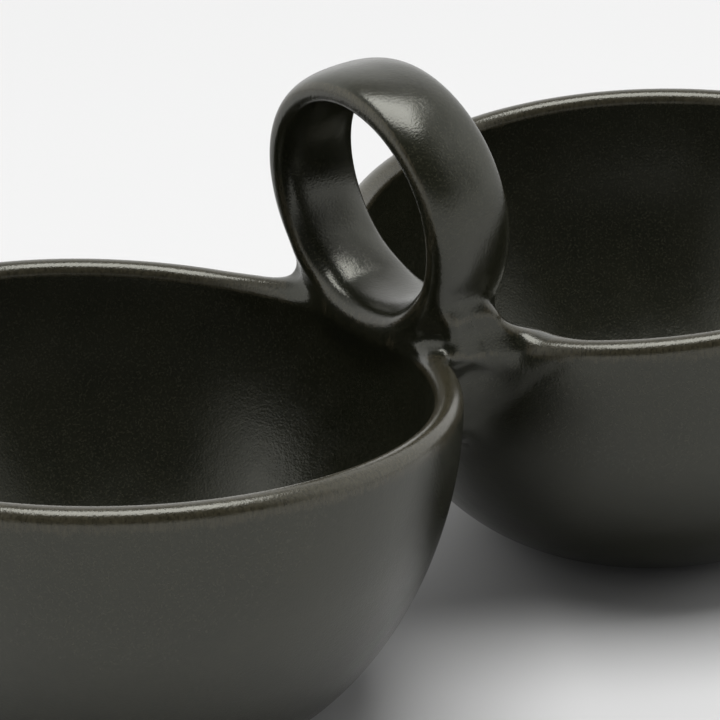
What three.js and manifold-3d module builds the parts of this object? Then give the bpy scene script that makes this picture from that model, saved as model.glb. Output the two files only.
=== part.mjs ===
// Double snack bowl: two round stoneware bowls, joined rim to rim under a standing finger ring.
// Millimetres, +Z up. X runs along the line of the bowl centres, and the bowls stand on z = 0.
// The six lumps of clay are separate solids, as they lie before they are luted together and glazed.

import * as THREE from 'three';
import { mergeVertices } from 'three/addons/utils/BufferGeometryUtils.js';
import Module from 'manifold-3d';

// Bowls
const BOWL_RADIUS = 60; // outside of the rim
const WALL = 5; // thickness of the rim, which is half round on top
const RIM_HEIGHT = 62.5; // top of the rim, on the average round the bowl
const RIM_TILT = 4.5; // rise of the rim at the bowl's far end, and its fall at the join
const RIM_WAVE = 0.9; // fall of the rim at both ends, and its rise at the sides
const BASE_RADIUS = 25.6; // where the outside wall leaves the table
const FLOOR_THICKNESS = 6; // from the table to the inside, at the bowl's centre
const FLOOR_RADIUS = 18; // the flat middle of the inside
const FOOT_WIDTH = 5; // ring that the bowl stands on
const FOOT_RECESS = 1.2; // depth of the underside within that ring
const BOWL_GAP = 2.4; // between the two outside walls at the join
const WALL_FULLNESS = { across: 1.71, up: 1.83 }; // superellipse powers of the wall's curve

// Finger ring
const RING_RADIUS = 21.6; // middle of the band
const RING_WIDTH = 17.2; // along X
const RING_THICKNESS = 6.3;
const RING_SINK = 1.9; // how deep the band sits in the two rims
const RING_SHIFT = 1.2; // offset of the band's foot from the join, along X
const RING_LEAN = THREE.MathUtils.degToRad(6.4); // of the ring, towards the left bowl
const RING_TWIST = THREE.MathUtils.degToRad(2.2); // of the ring, its front leg towards the right bowl
const RING_SAG = 1.2; // of the ring's foot below a true circle
const BAND_TILT = THREE.MathUtils.degToRad(2.2); // of the band's section, at the ring's top and foot
const BAND_FULLNESS = { outside: 2.4, inside: 2.9 }; // superellipse powers of the band's section

// Clay that binds the ring and the rims
const WEB_LENGTH = 24; // along Y
const WEB_DEPTH = 12; // below the rims
const SADDLE_DEPTH = 12; // below the rims, between the two walls
const SADDLE_RISE = 12; // above the rims, up the ring's leg
const SADDLE_FOOT_WIDTH = 8; // at the bottom, between the bowls
const SADDLE_WIDTH = 18.6; // where it spreads over the rims
const SADDLE_TOP_WIDTH = 13; // on the ring's leg
const SADDLE_SKIN = 0.6; // thickness left where the saddle ends on the ring's leg
const SADDLE_FULLNESS = 2.2; // superellipse power of the saddle's sections

const CLEARANCE = 0.3; // between neighbouring lumps

// Glazes
const BOWL_GLAZE = { color: 0x30312b, roughness: 0.45 };
const RING_GLAZE = { color: 0x35352e, roughness: 0.4 };
const SADDLE_GLAZE = { color: 0x37362f, roughness: 0.4 };

// Facets
const BOWL_FACETS = 64;
const WALL_STEPS = 11;
const LIP_STEPS = 6;
const RING_FACETS = 48;
const BAND_FACETS = 20;
const SADDLE_FACETS = 32;
const SADDLE_STEPS = 12;

const wasm = await Module();
wasm.setup();

const bowlCentre = BOWL_RADIUS + BOWL_GAP / 2;
const lipRadius = WALL / 2;
const lipHeight = RIM_HEIGHT - lipRadius;
const joinHeight = RIM_HEIGHT - RIM_TILT - RIM_WAVE;
const ringHeight = joinHeight - RING_SINK + RING_THICKNESS / 2 + RING_RADIUS;

// A cosine or sine drawn out from a circle to a superellipse.
function full(value, power) {
  return Math.sign(value) * Math.abs(value) ** (2 / power);
}

// Moves every vertex of a geometry by a function of its place.
function reshape(geometry, move) {
  const places = geometry.getAttribute('position');
  const place = new THREE.Vector3();
  for (let i = 0; i < places.count; i += 1) {
    move(place.fromBufferAttribute(places, i));
    places.setXYZ(i, place.x, place.y, place.z);
  }
  return geometry;
}

// A closed geometry as a solid that can be cut and joined.
function solidOf(geometry) {
  geometry.deleteAttribute('normal');
  geometry.deleteAttribute('uv');
  const merged = mergeVertices(geometry, 1e-4);
  const corners = merged.index.array;
  const triangles = [];
  for (let i = 0; i < corners.length; i += 3) {
    const [a, b, c] = corners.slice(i, i + 3);
    if (a !== b && b !== c && c !== a) triangles.push(a, b, c);
  }
  const mesh = new wasm.Mesh({
    numProp: 3,
    vertProperties: merged.getAttribute('position').array,
    triVerts: new Uint32Array(triangles),
  });
  return new wasm.Manifold(mesh);
}

// Half of a bowl's section, from the underside's centre round the rim to the inside's centre.
// A grown section stands clear of the true one by that much all round.
function bowlProfile(grown) {
  const inside = BOWL_RADIUS - WALL;
  const points = [
    new THREE.Vector2(0, FOOT_RECESS),
    new THREE.Vector2(BASE_RADIUS - FOOT_WIDTH, FOOT_RECESS),
    new THREE.Vector2(BASE_RADIUS - FOOT_WIDTH, 0),
  ];
  const wall = (step, inner, outer, bottom) => {
    const turn = (step / WALL_STEPS) * (Math.PI / 2);
    const across = full(Math.sin(turn), WALL_FULLNESS.across);
    const up = 1 - full(Math.cos(turn), WALL_FULLNESS.up);
    return new THREE.Vector2(inner + (outer - inner) * across, bottom + (lipHeight - bottom) * up);
  };
  for (let step = 0; step <= WALL_STEPS; step += 1) {
    points.push(wall(step, BASE_RADIUS, BOWL_RADIUS + grown, 0));
  }
  for (let step = 1; step < LIP_STEPS; step += 1) {
    const turn = (step / LIP_STEPS) * Math.PI;
    const reach = lipRadius + grown;
    const middle = BOWL_RADIUS - lipRadius;
    points.push(new THREE.Vector2(middle + reach * Math.cos(turn), lipHeight + reach * Math.sin(turn)));
  }
  for (let step = WALL_STEPS; step >= 0; step -= 1) {
    points.push(wall(step, FLOOR_RADIUS, inside - grown, FLOOR_THICKNESS + grown));
  }
  points.push(new THREE.Vector2(0, FLOOR_THICKNESS + grown));
  return points;
}

// side is -1 for the left bowl and 1 for the right one, whose far ends point away from the join.
// The wall is drawn out to the rim's slope, and the lip keeps its round.
function bowlSolid(side, grown = 0) {
  const geometry = new THREE.LatheGeometry(bowlProfile(grown), BOWL_FACETS);
  geometry.rotateX(Math.PI / 2);
  reshape(geometry, (place) => {
    const toFarEnd = side * Math.cos(Math.atan2(place.y, place.x));
    const rise = RIM_TILT * toFarEnd - RIM_WAVE * (2 * toFarEnd ** 2 - 1);
    place.z += (rise * Math.min(place.z, lipHeight)) / lipHeight;
    place.x += side * bowlCentre;
  });
  return solidOf(geometry);
}

// The band stands in the YZ plane, leaning and turned a little as a hand-made ring is.
function ringSolid(grown = 0) {
  const unitTube = 0.5;
  const geometry = new THREE.TorusGeometry(1, unitTube, BAND_FACETS, RING_FACETS);
  reshape(geometry, (place) => {
    const turn = Math.atan2(place.y, place.x);
    const outward = (Math.hypot(place.x, place.y) - 1) / unitTube;
    const power = outward > 0 ? BAND_FULLNESS.outside : BAND_FULLNESS.inside;
    const out = full(outward, power) * (RING_THICKNESS / 2 + grown);
    const along = full(place.z / unitTube, power) * (RING_WIDTH / 2 + grown);
    const tilt = BAND_TILT * Math.sin(turn);
    const sag = RING_SAG * Math.max(-Math.sin(turn), 0) ** 2;
    const radius = RING_RADIUS + sag + out * Math.cos(tilt) + along * Math.sin(tilt);
    const lean = RING_RADIUS * (1 + Math.sin(turn)) * Math.tan(RING_LEAN);
    const twist = RING_RADIUS * Math.cos(turn) * Math.tan(RING_TWIST);
    const across = along * Math.cos(tilt) - out * Math.sin(tilt) - lean - twist;
    place.set(RING_SHIFT + across, radius * Math.cos(turn), ringHeight + radius * Math.sin(turn));
  });
  return solidOf(geometry);
}

// Distance of the ring's band from its upright axis, at a height above the rims.
function ringReach(height, radius) {
  const drop = ringHeight - joinHeight - height;
  return Math.sqrt(Math.max(radius ** 2 - drop ** 2, 0));
}

// One saddle before it is trimmed: sections stacked from between the bowls up to the ring's leg.
// Each control point holds the half width, the reach from the ring's axis and the height above the rims.
function saddleSolid(side) {
  const inWall = BOWL_GAP + 2 * WALL;
  const heel = WEB_LENGTH / 2 + CLEARANCE;
  const front = ringReach(SADDLE_RISE, RING_RADIUS + RING_THICKNESS / 2) + CLEARANCE + SADDLE_SKIN;
  const waist = (SADDLE_WIDTH + SADDLE_TOP_WIDTH) / 2;
  const level = (width, reach, height) => new THREE.Vector3(width / 2, reach, height);
  const spine = new THREE.CatmullRomCurve3([
    level(SADDLE_FOOT_WIDTH, (heel + front) / 2, -SADDLE_DEPTH),
    level((SADDLE_FOOT_WIDTH + inWall) / 2, (heel + 2 * front) / 3, -SADDLE_DEPTH * 0.6),
    level(inWall, front - SADDLE_SKIN, -SADDLE_DEPTH * 0.2),
    level(SADDLE_WIDTH, front, SADDLE_RISE * 0.12),
    level(waist, front - 2 * SADDLE_SKIN, SADDLE_RISE * 0.45),
    level(SADDLE_TOP_WIDTH, front, SADDLE_RISE),
  ]);
  const geometry = new THREE.CylinderGeometry(1, 1, 1, SADDLE_FACETS, SADDLE_STEPS);
  geometry.rotateX(Math.PI / 2);
  reshape(geometry, (place) => {
    const section = spine.getPoint(place.z + 0.5);
    const inner = Math.max(ringReach(section.z, RING_RADIUS), heel);
    const radius = Math.hypot(place.x, place.y);
    const turn = Math.atan2(place.y, place.x);
    const across = radius * full(Math.cos(turn), SADDLE_FULLNESS);
    const out = radius * full(Math.sin(turn), SADDLE_FULLNESS);
    const middle = (section.y + inner) / 2;
    place.set(section.x * across, middle + (out * (section.y - inner)) / 2, joinHeight + section.z);
  });
  if (side < 0) geometry.rotateZ(Math.PI);
  return solidOf(geometry);
}

// The strip between the two walls before it is trimmed: it reaches into both of them.
function webSolid() {
  const width = BOWL_GAP + WALL;
  const geometry = new THREE.BoxGeometry(width, WEB_LENGTH, WEB_DEPTH);
  geometry.translate(0, 0, joinHeight - WEB_DEPTH / 2);
  return solidOf(geometry);
}

// A named mesh with its own glaze, whose origin is the given point.
function piece(name, solid, origin, glaze) {
  const { vertProperties, triVerts } = solid.getMesh();
  const geometry = new THREE.BufferGeometry();
  geometry.setAttribute('position', new THREE.BufferAttribute(new Float32Array(vertProperties), 3));
  geometry.setIndex(new THREE.BufferAttribute(new Uint32Array(triVerts), 1));
  geometry.translate(-origin.x, -origin.y, -origin.z);
  geometry.computeVertexNormals();
  const mesh = new THREE.Mesh(geometry, new THREE.MeshStandardMaterial(glaze));
  mesh.name = name;
  mesh.position.copy(origin);
  return mesh;
}

const grownRing = ringSolid(CLEARANCE);
const grownBowls = bowlSolid(-1, CLEARANCE).add(bowlSolid(1, CLEARANCE));
const trimmed = (solid) => solid.subtract(grownBowls).subtract(grownRing);
const join = new THREE.Vector3(0, 0, joinHeight);
const ringMiddle = new THREE.Vector3(RING_SHIFT, 0, ringHeight);
const bowlFoot = (side) => new THREE.Vector3(side * bowlCentre, 0, 0);

const bowl = new THREE.Group();
bowl.name = 'double_snack_bowl';
bowl.add(
  piece('left_bowl', bowlSolid(-1).subtract(grownRing), bowlFoot(-1), BOWL_GLAZE),
  piece('right_bowl', bowlSolid(1).subtract(grownRing), bowlFoot(1), BOWL_GLAZE),
  piece('ring_handle', ringSolid(), ringMiddle, RING_GLAZE),
  piece('front_saddle', trimmed(saddleSolid(-1)), join, SADDLE_GLAZE),
  piece('rear_saddle', trimmed(saddleSolid(1)), join, SADDLE_GLAZE),
  piece('bridge_web', trimmed(webSolid()), join, SADDLE_GLAZE),
);

export default bowl;
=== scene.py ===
import math

import bmesh
import bpy
import numpy as np
from mathutils import Matrix, Vector


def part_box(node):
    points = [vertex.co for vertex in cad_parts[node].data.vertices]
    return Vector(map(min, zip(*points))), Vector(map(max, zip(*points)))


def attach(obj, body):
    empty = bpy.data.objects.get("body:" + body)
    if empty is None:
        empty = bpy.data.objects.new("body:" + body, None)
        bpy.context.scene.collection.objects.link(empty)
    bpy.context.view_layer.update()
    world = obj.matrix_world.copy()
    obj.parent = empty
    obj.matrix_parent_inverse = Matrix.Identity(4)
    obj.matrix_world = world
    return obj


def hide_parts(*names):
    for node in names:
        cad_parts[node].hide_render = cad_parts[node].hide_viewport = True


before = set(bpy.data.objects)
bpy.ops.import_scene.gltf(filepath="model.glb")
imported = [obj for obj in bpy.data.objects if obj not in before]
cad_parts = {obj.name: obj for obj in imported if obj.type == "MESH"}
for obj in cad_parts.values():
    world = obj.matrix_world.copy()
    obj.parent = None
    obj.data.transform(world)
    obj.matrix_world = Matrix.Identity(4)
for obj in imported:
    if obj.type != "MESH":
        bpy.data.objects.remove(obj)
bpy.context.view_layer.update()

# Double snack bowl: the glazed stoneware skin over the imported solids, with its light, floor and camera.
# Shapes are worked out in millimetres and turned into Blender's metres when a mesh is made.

MM = 0.001


def node_box(node):
    """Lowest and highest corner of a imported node, in millimetres."""
    low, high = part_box(node)
    return np.array(low) / MM, np.array(high) / MM


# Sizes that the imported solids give
right_low, right_high = node_box("right_bowl")
ring_low, ring_high = node_box("ring_handle")
BOWL_RADIUS = (right_high[1] - right_low[1]) / 2
BOWL_CENTRE = right_high[0] - BOWL_RADIUS
FAR_RIM_HEIGHT = node_box("left_bowl")[1][2]
RING_OUTSIDE = (ring_high[1] - ring_low[1]) / 2
WEB_REACH = node_box("bridge_web")[1][1]

# Bowls
WALL = 5.0
RIM_TILT = 4.5  # rise of the rim at the bowl's far end, and its fall at the join
RIM_WAVE = 0.9  # fall of the rim at both ends, and its rise at the sides
RIM_HEIGHT = FAR_RIM_HEIGHT - RIM_TILT + RIM_WAVE
LIP_RADIUS = WALL / 2
LIP_HEIGHT = RIM_HEIGHT - LIP_RADIUS  # where the half-round lip starts
JOIN_HEIGHT = RIM_HEIGHT - RIM_TILT - RIM_WAVE  # top of the rims where the bowls meet
BASE_RADIUS = 25.6
FLOOR_THICKNESS = 6.0
FLOOR_RADIUS = 18.0
FOOT_WIDTH = 5.0
FOOT_RECESS = 1.2
FOOT_EDGE = 0.5
WALL_ACROSS = 1.71  # superellipse powers of the wall's curve
WALL_UP = 1.83

# Finger ring
RING_WIDTH = 17.2
RING_THICKNESS = 6.3
RING_RADIUS = RING_OUTSIDE - RING_THICKNESS / 2  # middle of the band
RING_CREST = 0.04  # added at the top by the band's tilt
RING_HEIGHT = ring_high[2] - RING_CREST - RING_OUTSIDE
RING_SHIFT = 1.2  # of the foot from the join, along X
RING_LEAN = math.radians(6.4)  # towards the left bowl
RING_TWIST = math.radians(2.2)  # of the front leg towards the right bowl
RING_SAG = 1.2  # of the foot below a true circle
BAND_TILT = math.radians(2.2)  # of the section, at the ring's top
BAND_OUTSIDE = 2.4  # superellipse powers of the band's section
BAND_INSIDE = 2.9

# Pads at the ring's feet
PAD_ROUND = 1.8
PAD_FRONT = 22.4  # from the ring's middle to the pad's face
PAD_DEPTH = 7.0
PAD_LEDGE = JOIN_HEIGHT - 2.0
LEDGE_ROUND = 2.6
PAD_TOP = JOIN_HEIGHT + 7.2
PAD_HALF_WIDTH = 5.0
PAD_SHIFT = 1.9  # from the join, along X
PAD_SHIFT_BEHIND = 1.6
PAD_TURN = 0.35  # of the face, after the rim that the pad spreads over
PAD_LEAN = 0.33  # along X, with height
PAD_SLOPE = 0.06  # of the face, backward with height
PAD_FLARE = 4.5  # over the rim that the pad spreads over
PAD_FLARE_NEAR = 2.5  # over the other rim
PAD_FLARE_BEHIND = 0.4  # share of the flare on the rear pad
PAD_FLARE_TOP = JOIN_HEIGHT + 8.5
PAD_FLARE_HEIGHT = 9.5
PAD_FLARE_FULL = JOIN_HEIGHT + 1.0

# Posts of clay between the walls, under the pads
POST_ROUND = 2.0
POST_FRONT = 20.5
POST_TOP = JOIN_HEIGHT - 0.8
POST_DEPTH = 7.0
POST_BOTTOM = JOIN_HEIGHT - 20.0
POST_SLOPE = 0.32  # of the face, backward with depth
POST_HALF_WIDTH = 3.3

# Rims that roll into the ring's feet, with places along Y from the ring's middle
ROLL_START = 2.0
ROLL_FULL = 15.0
ROLL_FADE = 20.0
ROLL_END = 35.0
ROLL_THICKNESS = 4.0  # added to the lip's radius
ROLL_INSIDE = 2.0  # how much steeper the roll falls into the bowl
ROLL_DROP = 0.3  # of the right lip, in front
ROLL_DROP_BEHIND = 0.5  # of the left lip, behind

# How far the shapes run together
ROLL_BLEND = 4.0
POST_BLEND = 9.0
JOIN_BLEND = 5.0
PAD_BLEND = 4.5
RING_BLEND = 5.5
FOOT_BLEND = 2.0  # added under the ring's foot
FOOT_BLEND_FROM = 9.0
FOOT_BLEND_TO = 15.0

# Skin of worked clay for the join pieces; its cover is its thickness over the bowls and the ring
SKIN_DEPTH = 0.6  # under the surface of the bowls and the ring
SKIN_LEAST = 0.12  # cover at which the skin ends
SKIN_SINK = 40.0  # how steeply it ends
SKIN_DIP = 0.08  # of its border, under the bowls and the ring
SKIN_SHARED = 0.25  # cover up to which the bowls and the ring are lifted onto it
SKIN_BURIED = 0.6  # cover from which they keep their own surface
SKIN_HIDDEN = 0.4  # depth from which a point counts as inside the body
SKIN_LOW = np.array([-30.0, -39.0, 34.0])
SKIN_HIGH = np.array([30.0, 39.0, 84.0])

# Mesh steps
SKIN_STEP = 0.6
BOWL_STEPS = 288
JOIN_CROWDING = 0.6  # of the steps round a bowl, towards the join
WALL_STEPS = 48
LIP_STEPS = 20
FOOT_STEPS = 5
RING_STEPS = 256
BAND_STEPS = 88

# Steps for slopes and curvature, and the limits that keep them steady
SLOPE_STEP = 0.05
CURVE_STEP = 0.5
SETTLE_STEP = 0.01
SETTLE_ROUNDS = 4
LEAST_STEEPNESS = 0.25
LEAST_FACING = 0.1

# Where the glaze breaks brown and where the clay is bare
EDGE_CURVE_FROM = 0.07  # curvature, in 1/mm
EDGE_CURVE_TO = 0.28
EDGE_FACING_FROM = -0.35  # upward part of the surface's normal
EDGE_FACING_TO = 0.15
RIM_BREAK_FROM = 0.6  # below the lip
RIM_BREAK_TO = 1.8
RIM_BREAK_NEAR = 14.0  # from the join, along X
RIM_BREAK_FAR = 28.0
BARE_HEIGHT = 0.6 * FOOT_EDGE
BARE_RADIUS = BASE_RADIUS + 1.5


def rim_rise(to_far_end):
    """Height of the rim over its average, from the cosine of the angle to the bowl's far end."""
    return RIM_TILT * to_far_end - RIM_WAVE * (2 * to_far_end**2 - 1)


def wall_radius(height, foot, rim, bottom):
    """Radius of a wall's curve at a height, from its foot at the bottom to the lip."""
    share = np.clip((height - bottom) / (LIP_HEIGHT - bottom), 0, 1)
    return foot + (rim - foot) * (1 - (1 - share) ** WALL_UP) ** (1 / WALL_ACROSS)


def ramp(value, low, high):
    """0 below low, 1 above high, smooth between."""
    share = np.clip((value - low) / (high - low), 0, 1)
    return share * share * (3 - 2 * share)


def smooth_least(a, b, blend):
    """The lesser of two distances, rounded off where they differ by less than the blend."""
    overlap = np.maximum(blend - np.abs(a - b), 0) / blend
    return np.minimum(a, b) - overlap**2 * blend / 4


def bowl_field(points, side):
    """Distance to a bowl's wall and lip: side is -1 for the left bowl and 1 for the right one."""
    x = points[..., 0] - side * BOWL_CENTRE
    radius = np.hypot(x, points[..., 1])
    lip_height = LIP_HEIGHT + rim_rise(side * x / np.maximum(radius, 1e-6))
    height = points[..., 2] * LIP_HEIGHT / lip_height
    outside = wall_radius(height, BASE_RADIUS, BOWL_RADIUS, 0)
    inside = wall_radius(height, FLOOR_RADIUS, BOWL_RADIUS - WALL, FLOOR_THICKNESS)
    from_middle = radius - (outside + inside) / 2
    over_lip = np.maximum(points[..., 2] - lip_height, 0)
    return np.hypot(from_middle, over_lip) - (outside - inside) / 2


def ring_middle(turn):
    """Place along X of the middle of the band, at an angle round the ring from its rear leg."""
    lean = RING_RADIUS * (1 + np.sin(turn)) * math.tan(RING_LEAN)
    return RING_SHIFT - lean - RING_RADIUS * np.cos(turn) * math.tan(RING_TWIST)


def ring_radius(turn):
    """Radius of the middle of the band, which sags a little towards its foot."""
    return RING_RADIUS + RING_SAG * np.maximum(-np.sin(turn), 0) ** 2


def ring_place(points):
    """Place across the band's section: along its width and outward through its thickness."""
    up = points[..., 2] - RING_HEIGHT
    turn = np.arctan2(up, points[..., 1])
    x = points[..., 0] - ring_middle(turn)
    radius = np.hypot(points[..., 1], up) - ring_radius(turn)
    tilt = BAND_TILT * np.sin(turn)
    return x * np.cos(tilt) + radius * np.sin(tilt), radius * np.cos(tilt) - x * np.sin(tilt)


def ring_field(points):
    """Distance to the ring's band, whose section is a superellipse."""
    along, outward = ring_place(points)
    power = np.where(outward > 0, BAND_OUTSIDE, BAND_INSIDE)
    across = np.abs(along) / (RING_WIDTH / 2) + 1e-9
    through = np.abs(outward) / (RING_THICKNESS / 2) + 1e-9
    level = (across**power + through**power) ** (1 / power)
    slope_across = (across / level) ** (power - 1) / (RING_WIDTH / 2)
    slope_through = (through / level) ** (power - 1) / (RING_THICKNESS / 2)
    return (level - 1) / np.hypot(slope_across, slope_through)


def rounded_box(points, low, high, rounding):
    """Distance to a box between two corners, with rounded edges."""
    middle = (low + high) / 2
    half = (high - low) / 2 - rounding
    outside = np.abs(points - middle) - half
    beyond = np.linalg.norm(np.maximum(outside, 0), axis=-1)
    return beyond + np.minimum(outside.max(axis=-1), 0) - rounding


def post_field(points):
    """Distance to the clay between the walls, before and behind the ring, which recedes downward."""
    below = np.maximum(POST_TOP - points[..., 2], 0)
    y = np.abs(points[..., 1]) + POST_SLOPE * below
    placed = np.stack([points[..., 0], y, points[..., 2]], axis=-1)
    low = np.array([-POST_HALF_WIDTH, POST_FRONT - POST_DEPTH, POST_BOTTOM])
    high = np.array([POST_HALF_WIDTH, POST_FRONT, POST_TOP])
    return rounded_box(placed, low, high, POST_ROUND)


def pad_field(points):
    """Distance to the pads at the ring's feet, which spread over one rim and end below in a ledge."""
    in_front = points[..., 1] < 0
    above = points[..., 2] - JOIN_HEIGHT
    leaned = points[..., 0] + PAD_LEAN * above
    x = np.where(in_front, leaned - PAD_SHIFT, PAD_SHIFT_BEHIND - leaned)
    y = np.abs(points[..., 1]) + PAD_SLOPE * above - PAD_TURN * np.maximum(x, 0)
    drop = np.clip((PAD_FLARE_TOP - points[..., 2]) / PAD_FLARE_HEIGHT, 0, 1)
    flare = np.where(x > 0, PAD_FLARE, PAD_FLARE_NEAR) * np.where(in_front, 1, PAD_FLARE_BEHIND)
    flare *= drop**2 * ramp(points[..., 2], PAD_LEDGE, PAD_FLARE_FULL)
    placed = np.stack([x * PAD_HALF_WIDTH / (PAD_HALF_WIDTH + flare), y, points[..., 2]], axis=-1)
    low = np.array([-PAD_HALF_WIDTH, PAD_FRONT - PAD_DEPTH, PAD_LEDGE - 2 * PAD_ROUND])
    high = np.array([PAD_HALF_WIDTH, PAD_FRONT, PAD_TOP])
    box = rounded_box(placed, low, high, PAD_ROUND)
    return -smooth_least(-box, points[..., 2] - PAD_LEDGE, LEDGE_ROUND)


def rolled_bowl(points, side, thicker, drop):
    """Distance to a bowl whose rim swells and dips towards one of the ring's feet."""
    x = points[..., 0] - side * BOWL_CENTRE
    radius = np.hypot(x, points[..., 1])
    beside = -side * points[..., 1]
    share = ramp(beside, ROLL_START, ROLL_FULL) * (1 - ramp(beside, ROLL_FADE, ROLL_END))
    share *= side * x < 0
    lip_top = LIP_HEIGHT + LIP_RADIUS + rim_rise(side * x / np.maximum(radius, 1e-6))
    thickness = LIP_RADIUS + thicker * share
    across = radius - BOWL_RADIUS + thickness
    across = np.where(across < 0, across * (1 + (ROLL_INSIDE - 1) * share), across)
    up = points[..., 2] - lip_top + drop * share + thickness
    roll = np.hypot(across, up) - thickness
    return smooth_least(bowl_field(points, side), roll, ROLL_BLEND * share + 1e-3)


def bare_field(points):
    """Distance to the bowls and the ring as they are before the joins are worked over."""
    bowls = np.minimum(bowl_field(points, -1), bowl_field(points, 1))
    return np.minimum(bowls, ring_field(points))


def clay_field(points):
    """Distance to the whole body, with the joins run together."""
    left = rolled_bowl(points, -1, 0, ROLL_DROP_BEHIND)
    right = rolled_bowl(points, 1, ROLL_THICKNESS, ROLL_DROP)
    body = smooth_least(left, smooth_least(right, post_field(points), POST_BLEND), JOIN_BLEND)
    body = smooth_least(body, pad_field(points), PAD_BLEND)
    under_foot = 1 - ramp(np.abs(points[..., 1]), FOOT_BLEND_FROM, FOOT_BLEND_TO)
    return smooth_least(body, ring_field(points), RING_BLEND + FOOT_BLEND * under_foot)


def skin_field(points):
    """Distance to the worked clay alone: it feathers out under the bowls and the ring."""
    clay = clay_field(points)
    bare = bare_field(points)
    cover = bare - clay
    thin = np.maximum(SKIN_LEAST - cover, 0)
    dip = SKIN_DIP * (1 - ramp(cover, SKIN_LEAST, SKIN_SHARED))
    return np.maximum(clay + SKIN_SINK * thin + dip, -(bare + SKIN_DEPTH))


def gradient(field, points, step):
    """Slope of a field along each axis."""
    slopes = []
    for axis in np.eye(3):
        slopes.append((field(points + step * axis) - field(points - step * axis)) / (2 * step))
    return np.stack(slopes, axis=-1)


def curvature(points):
    """Sum of the body's curvatures, positive where it is convex, in 1/mm."""
    middle = clay_field(points)
    total = np.zeros(len(points))
    for step in CURVE_STEP * np.eye(3):
        total += clay_field(points + step) + clay_field(points - step) - 2 * middle
    return total / CURVE_STEP**2


def rim_break(points):
    """How far the glaze breaks on the outside of a rim, from 1 at the lip to 0 a little below."""
    side = np.sign(points[:, 0])
    x = points[:, 0] - side * BOWL_CENTRE
    radius = np.hypot(x, points[:, 1])
    lip_height = LIP_HEIGHT + rim_rise(side * x / np.maximum(radius, 1e-6))
    outside = radius > BOWL_RADIUS - LIP_RADIUS
    off_join = ramp(np.abs(points[:, 0]), RIM_BREAK_NEAR, RIM_BREAK_FAR)
    return outside * off_join * (1 - ramp(lip_height - points[:, 2], RIM_BREAK_FROM, RIM_BREAK_TO))


def surface_net(field, low, high, step):
    """Vertices and quads of the surface where a field is zero, a vertex in each cell it crosses."""
    counts = np.ceil((high - low) / step).astype(int) + 1
    axes = [low[i] + step * np.arange(counts[i]) for i in range(3)]
    values = field(np.stack(np.meshgrid(*axes, indexing="ij"), axis=-1))
    cells = counts - 1

    def corner(offset):
        return values[tuple(slice(o, o + n) for o, n in zip(offset, cells))]

    offsets = [(i, j, k) for i in (0, 1) for j in (0, 1) for k in (0, 1)]
    total = np.zeros((*cells, 3))
    crossings = np.zeros(cells)
    for start in offsets:
        for axis in range(3):
            if start[axis]:
                continue
            end = tuple(1 if i == axis else o for i, o in enumerate(start))
            a, b = corner(start), corner(end)
            crossed = (a < 0) != (b < 0)
            share = np.where(crossed, a / np.where(crossed, a - b, 1), 0)
            place = np.stack([np.full(cells, float(o)) for o in start], axis=-1)
            place[..., axis] += share
            total += place * crossed[..., None]
            crossings += crossed
    used = crossings > 0
    index = np.full(cells, -1)
    index[used] = np.arange(used.sum())
    vertices = low + step * (np.argwhere(used) + total[used] / crossings[used][:, None])

    faces = []
    for axis in range(3):
        u, v = (axis + 1) % 3, (axis + 2) % 3
        near = [slice(1, -1)] * 3
        near[axis] = slice(0, -1)
        far = list(near)
        far[axis] = slice(1, None)
        a, b = values[tuple(near)], values[tuple(far)]
        crossed = np.argwhere((a < 0) != (b < 0))
        outward = (a < 0)[tuple(crossed.T)]
        base = crossed + 1
        base[:, axis] -= 1
        ring = []
        for du, dv in ((1, 1), (0, 1), (0, 0), (1, 0)):
            cell = base.copy()
            cell[:, u] -= du
            cell[:, v] -= dv
            ring.append(index[tuple(cell.T)])
        quads = np.stack(ring, axis=-1)
        quads[~outward] = quads[~outward][:, ::-1]
        faces.append(quads)
    return vertices, np.concatenate(faces)


def settle(field, points):
    """Moves points onto the surface where a field is zero."""
    for _ in range(SETTLE_ROUNDS):
        slope = gradient(field, points, SETTLE_STEP)
        steepness = np.maximum((slope**2).sum(axis=-1), LEAST_STEEPNESS)
        points = points - slope * (field(points) / steepness)[:, None]
    return points


def mesh_piece(name, vertices, faces):
    """A smooth mesh object from millimetre vertices."""
    mesh = bpy.data.meshes.new(name)
    mesh.from_pydata((np.asarray(vertices) * MM).tolist(), [], [list(f) for f in faces])
    mesh.update()
    mesh.shade_smooth()
    piece = bpy.data.objects.new(name, mesh)
    bpy.context.scene.collection.objects.link(piece)
    return piece


def paint(piece, name, values):
    """Stores one number for each vertex, for the glaze to read."""
    layer = piece.data.attributes.new(name, "FLOAT", "POINT")
    layer.data.foreach_set("value", np.asarray(values, dtype=np.float32))


def places(piece):
    """Vertex places of a piece, in millimetres."""
    flat = np.zeros(3 * len(piece.data.vertices))
    piece.data.vertices.foreach_get("co", flat)
    return flat.reshape(-1, 3) / MM


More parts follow.
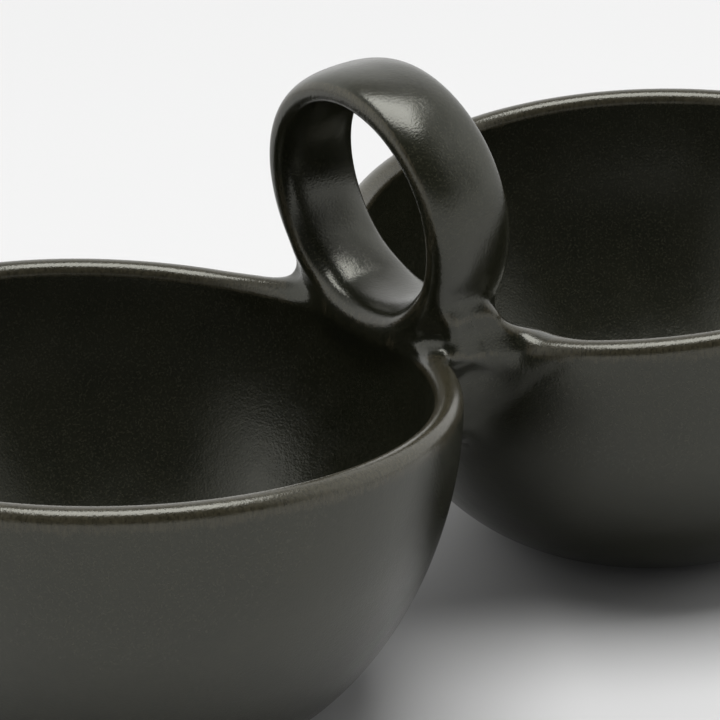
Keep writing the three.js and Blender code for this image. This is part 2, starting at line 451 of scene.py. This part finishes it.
def bowl_profile():
    """Half section of a bowl, from the middle of its underside over the lip to its inside."""
    foot_inside = BASE_RADIUS - FOOT_WIDTH
    profile = [(0.0, FOOT_RECESS), (foot_inside / 2, FOOT_RECESS)]
    for turn in np.linspace(math.pi / 2, 0, FOOT_STEPS):
        across = foot_inside - FOOT_EDGE + FOOT_EDGE * math.cos(turn)
        profile.append((across, FOOT_RECESS - FOOT_EDGE + FOOT_EDGE * math.sin(turn)))
    for turn in np.linspace(math.pi, 1.5 * math.pi, FOOT_STEPS):
        across = foot_inside + FOOT_EDGE + FOOT_EDGE * math.cos(turn)
        profile.append((across, FOOT_EDGE + FOOT_EDGE * math.sin(turn)))
    turns = np.linspace(0, math.pi / 2, WALL_STEPS + 1)
    heights = 1 - np.cos(turns) ** (2 / WALL_UP)
    for share in heights:
        height = LIP_HEIGHT * share
        profile.append((wall_radius(height, BASE_RADIUS, BOWL_RADIUS, 0), height))
    for turn in np.linspace(0, math.pi, LIP_STEPS + 1)[1:-1]:
        across = BOWL_RADIUS - LIP_RADIUS + LIP_RADIUS * math.cos(turn)
        profile.append((across, LIP_HEIGHT + LIP_RADIUS * math.sin(turn)))
    for share in heights[::-1]:
        height = FLOOR_THICKNESS + (LIP_HEIGHT - FLOOR_THICKNESS) * share
        profile.append((wall_radius(height, FLOOR_RADIUS, BOWL_RADIUS - WALL, FLOOR_THICKNESS), height))
    profile.append((FLOOR_RADIUS / 2, FLOOR_THICKNESS))
    profile.append((0.0, FLOOR_THICKNESS))
    return np.array(profile, dtype=float)


def make_bowl(name, side):
    """One bowl, turned about its axis, with its rim sloping down to the join."""
    profile = bowl_profile()
    even = np.linspace(0, 2 * math.pi, BOWL_STEPS, endpoint=False)
    turns = even - JOIN_CROWDING * np.sin(even) + (math.pi if side > 0 else 0)
    rise = rim_rise(side * np.cos(turns))
    inner = profile[1:-1]
    below = np.minimum(inner[:, 1], LIP_HEIGHT)[:, None]
    heights = below * (LIP_HEIGHT + rise) / LIP_HEIGHT + inner[:, 1:] - below
    x = side * BOWL_CENTRE + inner[:, :1] * np.cos(turns)
    y = inner[:, :1] * np.sin(turns)
    rings = np.stack([x, y, heights], axis=-1).reshape(-1, 3)
    near_join = (np.abs(rings[:, 0]) < SKIN_HIGH[0]) & (rings[:, 2] > SKIN_LOW[2])
    rings[near_join] = lift(rings[near_join])
    ends = [(side * BOWL_CENTRE, 0, profile[0, 1]), (side * BOWL_CENTRE, 0, profile[-1, 1])]
    vertices = np.concatenate([rings, ends])
    under, top = len(rings), len(rings) + 1
    last = len(inner) - 1
    faces = []
    for j in range(BOWL_STEPS):
        k = (j + 1) % BOWL_STEPS
        faces.append((under, k, j))
        for i in range(last):
            a, b = i * BOWL_STEPS, (i + 1) * BOWL_STEPS
            faces.append((a + j, a + k, b + k, b + j))
        faces.append((last * BOWL_STEPS + j, last * BOWL_STEPS + k, top))
    return mesh_piece(name, vertices, faces)


def make_ring(name):
    """The standing band, a superellipse carried round a leaning circle."""
    turns = np.linspace(0, 2 * math.pi, RING_STEPS, endpoint=False)[:, None]
    rounds = np.linspace(0, 2 * math.pi, BAND_STEPS, endpoint=False)[None]
    power = np.where(np.sin(rounds) > 0, BAND_OUTSIDE, BAND_INSIDE)

    def full(value):
        return np.sign(value) * np.abs(value) ** (2 / power)

    along = full(np.cos(rounds)) * RING_WIDTH / 2
    outward = full(np.sin(rounds)) * RING_THICKNESS / 2
    tilt = BAND_TILT * np.sin(turns)
    radius = ring_radius(turns) + outward * np.cos(tilt) + along * np.sin(tilt)
    x = ring_middle(turns) + along * np.cos(tilt) - outward * np.sin(tilt)
    y = radius * np.cos(turns)
    z = RING_HEIGHT + radius * np.sin(turns)
    vertices = lift(np.stack([x, y, z], axis=-1).reshape(-1, 3))
    faces = []
    for i in range(RING_STEPS):
        a, b = i * BAND_STEPS, (i + 1) % RING_STEPS * BAND_STEPS
        for j in range(BAND_STEPS):
            k = (j + 1) % BAND_STEPS
            faces.append((a + j, b + j, b + k, a + k))
    return mesh_piece(name, vertices, faces)


def cut_from_skin(name, vertices, faces, planes):
    """The part of the worked clay behind each plane, closed where it is cut."""
    piece = mesh_piece(name, vertices, faces)
    sculpt = bmesh.new()
    sculpt.from_mesh(piece.data)
    for place, direction in planes:
        everything = sculpt.verts[:] + sculpt.edges[:] + sculpt.faces[:]
        cut = bmesh.ops.bisect_plane(
            sculpt, geom=everything, plane_co=Vector(place) * MM, plane_no=direction, clear_outer=True
        )
        rim = [e for e in cut["geom_cut"] if isinstance(e, bmesh.types.BMEdge)]
        bmesh.ops.holes_fill(sculpt, edges=rim)
    sculpt.to_mesh(piece.data)
    sculpt.free()
    piece.data.shade_smooth()
    return piece


def lift(points):
    """Moves a bowl's or the ring's points onto the worked clay where that only just covers them."""
    cover = bare_field(points) - clay_field(points)
    share = 1 - ramp(cover, SKIN_SHARED, SKIN_BURIED)
    moved = settle(clay_field, points)
    return points + (moved - points) * (share * (cover > 0))[:, None]


def body_normals(piece):
    """Gives a piece the smooth normals of the whole body where it lies on the body's surface."""
    points = places(piece)
    slope = gradient(clay_field, points, SLOPE_STEP)
    slope /= np.linalg.norm(slope, axis=-1, keepdims=True)
    mesh = piece.data
    corners = np.zeros(len(mesh.loops), dtype=int)
    mesh.loops.foreach_get("vertex_index", corners)
    normals = np.zeros(3 * len(mesh.loops))
    mesh.corner_normals.foreach_get("vector", normals)
    normals = normals.reshape(-1, 3)
    face_of = np.zeros(len(mesh.loops), dtype=int)
    for face in mesh.polygons:
        face_of[list(face.loop_indices)] = face.index
    flat = np.zeros(3 * len(mesh.polygons))
    mesh.polygons.foreach_get("normal", flat)
    facing = (flat.reshape(-1, 3)[face_of] * slope[corners]).sum(axis=-1)
    on_surface = (clay_field(points)[corners] > -SKIN_HIDDEN) & (facing > LEAST_FACING)
    normals[on_surface] = slope[corners][on_surface]
    mesh.normals_split_custom_set(normals.tolist())


class Nodes:
    """Short forms for building a material's node tree."""

    def __init__(self, tree):
        self.tree = tree

    def add(self, kind, **sockets):
        """A new node, with its settings and sockets by name."""
        node = self.tree.nodes.new(kind)
        for key, value in sockets.items():
            if hasattr(node, key):
                setattr(node, key, value)
            else:
                self.feed(node.inputs[key.replace("_", " ")], value)
        return node

    def feed(self, socket, value):
        """Links a socket to another one, or sets it to a constant."""
        if isinstance(value, bpy.types.NodeSocket):
            self.tree.links.new(value, socket)
        else:
            socket.default_value = value

    def noise(self, place, size, detail, roughness):
        """A noise whose grains are about the given size in millimetres."""
        node = self.add("ShaderNodeTexNoise", Vector=place, Scale=1 / (size * MM))
        node.inputs["Detail"].default_value = detail
        node.inputs["Roughness"].default_value = roughness
        return node.outputs["Fac"]

    def span(self, value, low, high, to_low=0.0, to_high=1.0):
        """A value from low to high, turned into one between two other limits."""
        node = self.add("ShaderNodeMapRange", Value=value)
        limits = {"From Min": low, "From Max": high, "To Min": to_low, "To Max": to_high}
        for key, number in limits.items():
            self.feed(node.inputs[key], number)
        return node.outputs["Result"]

    def math(self, operation, a, b):
        """The result of a sum, product or other operation on two values."""
        node = self.add("ShaderNodeMath", operation=operation)
        self.feed(node.inputs[0], a)
        self.feed(node.inputs[1], b)
        return node.outputs[0]

    def mix(self, share, a, b):
        """A colour between two others."""
        node = self.add("ShaderNodeMix", data_type="RGBA")
        self.feed(node.inputs["Factor"], share)
        colours = [s for s in node.inputs if s.type == "RGBA"]
        self.feed(colours[0], a)
        self.feed(colours[1], b)
        return [s for s in node.outputs if s.type == "RGBA"][0]


# Glaze and bare clay
GLAZE_IOR = 1.58
GLAZE_TINT = (1.0, 1.0, 0.9, 1.0)
GLAZE_DARK = (0.0068, 0.0076, 0.0040, 1.0)
GLAZE_PALE = (0.0110, 0.0116, 0.0062, 1.0)
SPECKLE_COLOUR = (0.032, 0.031, 0.020, 1.0)
SPECKLE_SHARE = 0.7
BROWN_DARK = (0.018, 0.016, 0.009, 1.0)
BROWN_PALE = (0.042, 0.037, 0.023, 1.0)
CLAY_DARK = (0.22, 0.16, 0.10, 1.0)
CLAY_PALE = (0.42, 0.33, 0.23, 1.0)
SATIN_ROUGHNESS = (0.19, 0.25)
CLAY_ROUGHNESS = 0.85
FINE_STRENGTH = 0.33
FINE_DEPTH = 0.0001
PEEL_STRENGTH = 0.08
PEEL_DEPTH = 0.0004
RAGGEDNESS = 0.35  # of the border between glaze and brown
RUN_STRETCH = (1.0, 1.0, 0.3)  # draws the brown out downward

# Noises: grain in millimetres, detail and roughness
MOTTLE = (14.0, 4.0, 0.6)
SPECKLE = (0.38, 2.0, 0.65)
RAGGED = (1.2, 3.0, 0.65)
GRAIN = (0.5, 3.0, 0.7)
GRIT = (0.5, 3.0, 0.6)
CLOUD = (5.0, 3.0, 0.5)
FINE = (0.42, 1.0, 0.5)
PEEL = (2.6, 1.0, 0.5)

# Parts of the noises that count
MOTTLE_SPAN = (0.35, 0.68)
SPECKLE_SPAN = (0.48, 0.68)
RAGGED_SPAN = (0.3, 0.7)
BREAK_SPAN = (0.35, 0.85)
GRAIN_SPAN = (0.35, 0.65)
CLOUD_SPAN = (0.3, 0.7)


def glaze_material():
    """Dark olive satin glaze, speckled, breaking brown on convex edges, with bare clay on the foot."""
    material = bpy.data.materials.new("satin_glaze")
    material.use_nodes = True
    tree = material.node_tree
    nodes = Nodes(tree)
    shader = tree.nodes["Principled BSDF"]
    shader.inputs["IOR"].default_value = GLAZE_IOR
    shader.inputs["Specular Tint"].default_value = GLAZE_TINT
    place = nodes.add("ShaderNodeTexCoord").outputs["Object"]
    edge = nodes.add("ShaderNodeAttribute", attribute_name="edge").outputs["Fac"]
    bare = nodes.add("ShaderNodeAttribute", attribute_name="bare").outputs["Fac"]

    mottle = nodes.span(nodes.noise(place, *MOTTLE), *MOTTLE_SPAN)
    speckle = nodes.span(nodes.noise(place, *SPECKLE), *SPECKLE_SPAN)
    glaze = nodes.mix(mottle, GLAZE_DARK, GLAZE_PALE)
    glaze = nodes.mix(nodes.math("MULTIPLY", speckle, SPECKLE_SHARE), glaze, SPECKLE_COLOUR)

    stretched = nodes.add("ShaderNodeMapping", Vector=place)
    stretched.inputs["Scale"].default_value = RUN_STRETCH
    tall = stretched.outputs["Vector"]
    ragged = nodes.span(nodes.noise(tall, *RAGGED), *RAGGED_SPAN, -RAGGEDNESS, RAGGEDNESS)
    broken = nodes.span(nodes.math("ADD", edge, ragged), *BREAK_SPAN)
    grain = nodes.span(nodes.noise(tall, *GRAIN), *GRAIN_SPAN)
    brown = nodes.mix(grain, BROWN_DARK, BROWN_PALE)
    glaze = nodes.mix(broken, glaze, brown)

    clay = nodes.mix(nodes.noise(place, *GRIT), CLAY_DARK, CLAY_PALE)
    tree.links.new(nodes.mix(bare, glaze, clay), shader.inputs["Base Color"])

    satin = nodes.span(nodes.noise(place, *CLOUD), *CLOUD_SPAN, *SATIN_ROUGHNESS)
    dry = nodes.span(bare, 0.0, 1.0, satin, CLAY_ROUGHNESS)
    tree.links.new(dry, shader.inputs["Roughness"])

    fine = nodes.noise(place, *FINE)
    peel = nodes.noise(place, *PEEL)
    fine_bump = nodes.add("ShaderNodeBump", Height=fine, Strength=FINE_STRENGTH, Distance=FINE_DEPTH)
    both = nodes.add("ShaderNodeBump", Height=peel, Strength=PEEL_STRENGTH, Distance=PEEL_DEPTH)
    tree.links.new(fine_bump.outputs[0], both.inputs["Normal"])
    tree.links.new(both.outputs[0], shader.inputs["Normal"])
    return material


def make_pieces(glaze):
    """The six pieces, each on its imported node."""
    vertices, faces = surface_net(skin_field, SKIN_LOW, SKIN_HIGH, SKIN_STEP)
    vertices = settle(skin_field, vertices)
    proud = clay_field(vertices) > 0
    vertices[proud] = settle(clay_field, vertices[proud])
    front_end = (0, -WEB_REACH, 0)
    rear_end = (0, WEB_REACH, 0)
    forward = (0, -1, 0)
    backward = (0, 1, 0)
    cuts = {
        "front_saddle": [(front_end, backward)],
        "rear_saddle": [(rear_end, forward)],
        "bridge_web": [(front_end, forward), (rear_end, backward)],
    }
    pieces = {
        "left_bowl": make_bowl("left_bowl_skin", -1),
        "right_bowl": make_bowl("right_bowl_skin", 1),
        "ring_handle": make_ring("ring_handle_skin"),
    }
    for node, planes in cuts.items():
        pieces[node] = cut_from_skin(f"{node}_skin", vertices, faces, planes)
    for node, piece in pieces.items():
        points = places(piece)
        facing = gradient(clay_field, points, SLOPE_STEP)[:, 2]
        edge = ramp(curvature(points), EDGE_CURVE_FROM, EDGE_CURVE_TO)
        edge *= ramp(facing, EDGE_FACING_FROM, EDGE_FACING_TO)
        if "bowl" in node:
            edge = np.maximum(edge, rim_break(points))
        paint(piece, "edge", edge)
        radius = np.hypot(np.abs(points[:, 0]) - BOWL_CENTRE, points[:, 1])
        flat_foot = (points[:, 2] < BARE_HEIGHT) & (radius < BARE_RADIUS)
        paint(piece, "bare", flat_foot & ("bowl" in node))
        body_normals(piece)
        piece.data.materials.append(glaze)
        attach(piece, "root")
        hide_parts(node)


# Camera, found from the rims, base and ring in the photograph: millimetres and degrees
CAMERA_PLACE = (-346.8, -455.7, 298.3)
CAMERA_YAW = math.radians(36.61)
CAMERA_PITCH = math.radians(23.61)
CAMERA_ROLL = -0.026  # radians
FOCAL_PIXELS = 3449.4
FRAME_PIXELS = 720
SENSOR_WIDTH = 36.0
CLIP_NEAR = 0.05  # metres
CLIP_FAR = 50.0


def make_camera():
    """A long lens from the front left, looking down into the bowls."""
    forward = Vector((
        math.sin(CAMERA_YAW) * math.cos(CAMERA_PITCH),
        math.cos(CAMERA_YAW) * math.cos(CAMERA_PITCH),
        -math.sin(CAMERA_PITCH),
    ))
    right = Vector((math.cos(CAMERA_YAW), -math.sin(CAMERA_YAW), 0))
    up = right.cross(forward)
    level = Matrix((right, up, -forward)).transposed()
    turned = level @ Matrix.Rotation(CAMERA_ROLL, 3, "Z")
    lens = bpy.data.cameras.new("camera")
    lens.sensor_width = SENSOR_WIDTH
    lens.lens = FOCAL_PIXELS / FRAME_PIXELS * SENSOR_WIDTH
    lens.clip_start = CLIP_NEAR
    lens.clip_end = CLIP_FAR
    camera = bpy.data.objects.new("camera", lens)
    camera.matrix_world = Matrix.Translation(Vector(CAMERA_PLACE) * MM) @ turned.to_4x4()
    bpy.context.scene.collection.objects.link(camera)
    bpy.context.scene.camera = camera


# Light and floor: metres and plain strengths
BACKDROP_WHITE = 0.888
FLOOR_SIZE = 8.0
FLOOR_COLOUR = (0.64, 0.64, 0.64, 1.0)
FLOOR_ROUGHNESS = 0.8
FLOOR_GLOSS = 0.1
SHADOW_REACH = 0.30  # where the floor starts to turn even
EVEN_FLOOR = 0.75
SOFTBOX_HEIGHT = 2.0
SOFTBOX_RIGHT = 0.12
SOFTBOX_WIDTH = 1.6
SOFTBOX_DEPTH = 1.15
SOFTBOX_TURN = math.radians(13.0)
SOFTBOX_POWER = 40.0
DARK_SIDE = math.radians(168.0)  # from the camera's heading
DARK_FROM = 0.25  # cosines of the angle to the dark side
DARK_FULL = 0.75
ROOM_DARK = 0.05
ROOM_HORIZON = 0.75
HORIZON_TOP = 0.25
ROOM_BRIGHT = 1.15
ROOM_CEILING = 0.3
CEILING_FROM = 0.65
CEILING_FULL = 0.9
WHITE = (1.0, 1.0, 1.0, 1.0)


def make_floor():
    """A wide pale floor that keeps the shadow near the object and is even further out."""
    half = FLOOR_SIZE / 2
    mesh = bpy.data.meshes.new("floor")
    corners = [(-half, -half, 0), (half, -half, 0), (half, half, 0), (-half, half, 0)]
    mesh.from_pydata(corners, [], [(0, 1, 2, 3)])
    floor = bpy.data.objects.new("floor", mesh)
    bpy.context.scene.collection.objects.link(floor)
    material = bpy.data.materials.new("pale_floor")
    material.use_nodes = True
    tree = material.node_tree
    nodes = Nodes(tree)
    shader = tree.nodes["Principled BSDF"]
    shader.inputs["Base Color"].default_value = FLOOR_COLOUR
    shader.inputs["Roughness"].default_value = FLOOR_ROUGHNESS
    shader.inputs["Specular IOR Level"].default_value = FLOOR_GLOSS
    even = nodes.add("ShaderNodeEmission", Strength=BACKDROP_WHITE)
    place = nodes.add("ShaderNodeTexCoord").outputs["Object"]
    distance = nodes.add("ShaderNodeVectorMath", operation="LENGTH")
    tree.links.new(place, distance.inputs[0])
    far = nodes.span(distance.outputs["Value"], SHADOW_REACH, EVEN_FLOOR)
    path = nodes.add("ShaderNodeLightPath")
    seen = nodes.math("MAXIMUM", path.outputs["Is Camera Ray"], path.outputs["Is Glossy Ray"])
    seen = nodes.math("MAXIMUM", seen, path.outputs["Is Transmission Ray"])
    both = nodes.add("ShaderNodeMixShader", Fac=nodes.math("MULTIPLY", far, seen))
    tree.links.new(shader.outputs[0], both.inputs[1])
    tree.links.new(even.outputs[0], both.inputs[2])
    tree.links.new(both.outputs[0], tree.nodes["Material Output"].inputs["Surface"])
    mesh.materials.append(material)


def make_softbox():
    """One wide soft light overhead, a little to the viewer's right."""
    light = bpy.data.lights.new("softbox", "AREA")
    light.shape = "RECTANGLE"
    light.size = SOFTBOX_WIDTH
    light.size_y = SOFTBOX_DEPTH
    light.energy = SOFTBOX_POWER
    softbox = bpy.data.objects.new("softbox", light)
    softbox.location = (
        SOFTBOX_RIGHT * math.cos(CAMERA_YAW),
        -SOFTBOX_RIGHT * math.sin(CAMERA_YAW),
        SOFTBOX_HEIGHT,
    )
    softbox.rotation_euler = (0, 0, SOFTBOX_TURN - CAMERA_YAW)
    bpy.context.scene.collection.objects.link(softbox)


def make_room():
    """Surroundings that are pale behind the object and dark on the viewer's side."""
    world = bpy.data.worlds.new("room")
    bpy.context.scene.world = world
    world.use_nodes = True
    tree = world.node_tree
    nodes = Nodes(tree)
    direction = nodes.add("ShaderNodeTexCoord").outputs["Generated"]
    level = nodes.add("ShaderNodeVectorMath", operation="MULTIPLY")
    tree.links.new(direction, level.inputs[0])
    level.inputs[1].default_value = (1, 1, 0)
    unit = nodes.add("ShaderNodeVectorMath", operation="NORMALIZE")
    tree.links.new(level.outputs[0], unit.inputs[0])
    dark = nodes.add("ShaderNodeVectorMath", operation="DOT_PRODUCT")
    tree.links.new(unit.outputs[0], dark.inputs[0])
    bearing = CAMERA_YAW + DARK_SIDE
    dark.inputs[1].default_value = (math.sin(bearing), math.cos(bearing), 0)
    height = nodes.add("ShaderNodeSeparateXYZ", Vector=direction).outputs["Z"]
    wall = nodes.span(height, CEILING_FROM, CEILING_FULL, ROOM_BRIGHT, ROOM_CEILING)
    low = nodes.span(height, 0.0, HORIZON_TOP, ROOM_HORIZON, ROOM_DARK)
    shade = nodes.span(dark.outputs["Value"], DARK_FROM, DARK_FULL, wall, low)
    path = nodes.add("ShaderNodeLightPath")
    seen = nodes.math("MAXIMUM", path.outputs["Is Camera Ray"], path.outputs["Is Transmission Ray"])
    strength = nodes.span(seen, 0.0, 1.0, shade, BACKDROP_WHITE)
    tree.links.new(strength, tree.nodes["Background"].inputs["Strength"])
    tree.nodes["Background"].inputs["Color"].default_value = WHITE


def main():
    """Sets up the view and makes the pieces."""
    bpy.context.scene.view_settings.view_transform = "Standard"
    make_camera()
    make_floor()
    make_softbox()
    make_room()
    make_pieces(glaze_material())


main()
